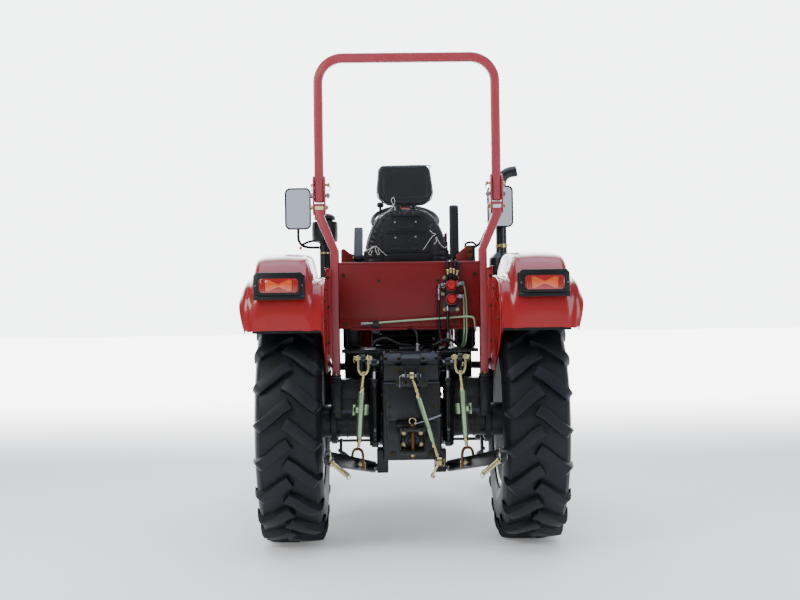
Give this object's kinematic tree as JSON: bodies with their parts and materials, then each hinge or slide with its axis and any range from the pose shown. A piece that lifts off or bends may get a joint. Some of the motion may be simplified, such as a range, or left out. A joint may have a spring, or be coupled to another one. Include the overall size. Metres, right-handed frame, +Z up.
{
  "type": "farm tractor",
  "caption": "Open-station four-wheel-drive farm tractor: rear three-point hitch, folding roll bar, tilting hood and steered front wheels",
  "frame": {"origin": "ground plane below the middle of the overall box", "axes": "+Z up, +Y towards the front of the tractor, +X to its right"},
  "size_m": [1.748, 3.4845, 2.648],
  "materials": {
    "black_steel": "satin black paint",
    "cast_iron_black": "black-painted casting",
    "chrome": "hard chrome",
    "red_lens": "moulded lamp",
    "red_paint": "gloss red enamel",
    "rim_paint": "silver-white paint",
    "seat_vinyl": "coated black fabric",
    "tyre_rubber": "matt rubber",
    "yellow_zinc": "yellow zinc plate"
  },
  "bodies": {
    "chassis": {"transmission_case": "cast_iron_black", "engine_block": "cast_iron_black", "front_support": "black_steel", "radiator": "black_steel", "front_axle": "cast_iron_black", "drive_shaft": "black_steel", "platform": "black_steel", "fuel_tank": "black_steel", "fender_L": "red_paint", "fender_R": "red_paint", "tail_lamp_L": "red_lens", "tail_lamp_R": "red_lens", "rear_panel": "red_paint", "rops_post_L": "red_paint", "rops_post_R": "red_paint", "seat_base": "black_steel", "seat_cushion": "seat_vinyl", "seat_back": "seat_vinyl", "armrest_L": "seat_vinyl", "armrest_R": "seat_vinyl", "dash": "black_steel", "exhaust": "black_steel", "air_intake": "black_steel", "mirror_L": "black_steel", "mirror_R": "black_steel", "drawbar_jaw": "black_steel", "coupler_block": "black_steel"},
    "hood_cover": {"hood": "red_paint", "grille": "black_steel"},
    "roll_bar": {"rops_hoop": "red_paint"},
    "left_knuckle": {"knuckle_L": "cast_iron_black"},
    "right_knuckle": {"knuckle_R": "cast_iron_black"},
    "steering_link": {"tie_rod": "black_steel"},
    "hand_wheel": {"steering_wheel": "black_steel"},
    "front_wheel_left": {"front_rim_L": "rim_paint", "front_tyre_L": "tyre_rubber"},
    "front_wheel_right": {"front_rim_R": "rim_paint", "front_tyre_R": "tyre_rubber"},
    "rear_wheel_left": {"rear_rim_L": "rim_paint", "rear_tyre_L": "tyre_rubber"},
    "rear_wheel_right": {"rear_rim_R": "rim_paint", "rear_tyre_R": "tyre_rubber"},
    "power_takeoff": {"pto_shaft": "chrome"},
    "rockshaft": {"lift_arms": "black_steel"},
    "left_lower_link": {"lower_link_L": "black_steel"},
    "right_lower_link": {"lower_link_R": "black_steel"},
    "left_lift_rod": {"lift_rod_L": "yellow_zinc"},
    "right_lift_rod": {"lift_rod_R": "yellow_zinc"},
    "left_barrel": {"assist_barrel_L": "black_steel"},
    "right_barrel": {"assist_barrel_R": "black_steel"},
    "left_ram": {"assist_rod_L": "chrome"},
    "right_ram": {"assist_rod_R": "chrome"},
    "upper_link": {"top_link": "yellow_zinc"}
  },
  "joints": [
    {"name": "left_rear_wheel_spin", "type": "hinge", "parent": "chassis", "child": "rear_wheel_left", "pos_m": [-0.633, -0.8575, 0.65], "axis": [1, 0, 0], "continuous": true},
    {"name": "right_rear_wheel_spin", "type": "hinge", "parent": "chassis", "child": "rear_wheel_right", "pos_m": [0.633, -0.8575, 0.65], "axis": [1, 0, 0], "continuous": true},
    {"name": "left_knuckle_turn", "type": "hinge", "parent": "chassis", "child": "left_knuckle", "pos_m": [-0.55, 1.1925, 0.46], "axis": [0, 0, 1], "range_deg": [-40, 40]},
    {"name": "right_knuckle_turn", "type": "hinge", "parent": "chassis", "child": "right_knuckle", "pos_m": [0.55, 1.1925, 0.46], "axis": [0, 0, 1], "range_deg": [-40, 40]},
    {"name": "steering_link_swing", "type": "hinge", "parent": "left_knuckle", "child": "steering_link", "pos_m": [-0.55, 1.3625, 0.333], "axis": [0, 0, 1], "range_deg": [-40, 40]},
    {"name": "hand_wheel_turn", "type": "hinge", "parent": "chassis", "child": "hand_wheel", "pos_m": [0, -0.1075, 1.8], "axis": [0, -0.5, 0.866], "range_deg": [-400, 400]},
    {"name": "left_front_wheel_spin", "type": "hinge", "parent": "left_knuckle", "child": "front_wheel_left", "pos_m": [-0.735, 1.1925, 0.46], "axis": [1, 0, 0], "continuous": true},
    {"name": "right_front_wheel_spin", "type": "hinge", "parent": "right_knuckle", "child": "front_wheel_right", "pos_m": [0.735, 1.1925, 0.46], "axis": [1, 0, 0], "continuous": true},
    {"name": "hood_tilt", "type": "hinge", "parent": "chassis", "child": "hood_cover", "pos_m": [0, 0.1525, 1.585], "axis": [1, 0, 0], "range_deg": [0, 60]},
    {"name": "roll_bar_fold", "type": "hinge", "parent": "chassis", "child": "roll_bar", "pos_m": [0, -0.9325, 1.877], "axis": [1, 0, 0], "range_deg": [0, 110]},
    {"name": "pto_spin", "type": "hinge", "parent": "chassis", "child": "power_takeoff", "pos_m": [0, -1.1575, 0.568], "axis": [0, 1, 0], "continuous": true},
    {"name": "rockshaft_turn", "type": "hinge", "parent": "chassis", "child": "rockshaft", "pos_m": [0, -0.9775, 0.955], "axis": [-1, 0, 0], "range_deg": [-25, 20]},
    {"name": "left_lower_link_swing", "type": "hinge", "parent": "chassis", "child": "left_lower_link", "pos_m": [-0.205, -0.9075, 0.4], "axis": [-1, 0, 0], "range_deg": [-23.2, 18.6]},
    {"name": "left_lift_rod_swing", "type": "hinge", "parent": "rockshaft", "child": "left_lift_rod", "pos_m": [-0.25, -1.2575, 1], "axis": [1, 0, 0], "range_deg": [-25.3, 20.3]},
    {"name": "left_barrel_swing", "type": "hinge", "parent": "chassis", "child": "left_barrel", "pos_m": [-0.195, -1.0575, 0.545], "axis": [1, 0, 0], "range_deg": [-0.7, 0.9]},
    {"name": "left_ram_slide", "type": "slide", "parent": "left_barrel", "child": "left_ram", "axis": [0, -0.0071, 1], "range_m": [-0.0361, 0.029]},
    {"name": "right_lower_link_swing", "type": "hinge", "parent": "chassis", "child": "right_lower_link", "pos_m": [0.205, -0.9075, 0.4], "axis": [-1, 0, 0], "range_deg": [-23.2, 18.6]},
    {"name": "right_lift_rod_swing", "type": "hinge", "parent": "rockshaft", "child": "right_lift_rod", "pos_m": [0.25, -1.2575, 1], "axis": [1, 0, 0], "range_deg": [-25.3, 20.3]},
    {"name": "right_barrel_swing", "type": "hinge", "parent": "chassis", "child": "right_barrel", "pos_m": [0.195, -1.0575, 0.545], "axis": [1, 0, 0], "range_deg": [-0.7, 0.9]},
    {"name": "right_ram_slide", "type": "slide", "parent": "right_barrel", "child": "right_ram", "axis": [0, -0.0071, 1], "range_m": [-0.0361, 0.029]},
    {"name": "upper_link_swing", "type": "hinge", "parent": "chassis", "child": "upper_link", "pos_m": [0, -1.2325, 0.905], "axis": [-1, 0, 0], "range_deg": [0, 80]}
  ],
  "couplings": [
    {"joint": "right_knuckle_turn", "follows": "left_knuckle_turn", "ratio": 1},
    {"joint": "steering_link_swing", "follows": "left_knuckle_turn", "ratio": -1},
    {"joint": "hand_wheel_turn", "follows": "left_knuckle_turn", "ratio": 10},
    {"joint": "left_lower_link_swing", "follows": "rockshaft_turn", "ratio": 0.9237},
    {"joint": "left_lift_rod_swing", "follows": "rockshaft_turn", "ratio": 1.0062},
    {"joint": "left_barrel_swing", "follows": "rockshaft_turn", "ratio": -0.028},
    {"joint": "left_ram_slide", "follows": "rockshaft_turn", "m_per_rad": 0.0817},
    {"joint": "right_lower_link_swing", "follows": "rockshaft_turn", "ratio": 0.9237},
    {"joint": "right_lift_rod_swing", "follows": "rockshaft_turn", "ratio": 1.0062},
    {"joint": "right_barrel_swing", "follows": "rockshaft_turn", "ratio": -0.028},
    {"joint": "right_ram_slide", "follows": "rockshaft_turn", "m_per_rad": 0.0817}
  ]
}
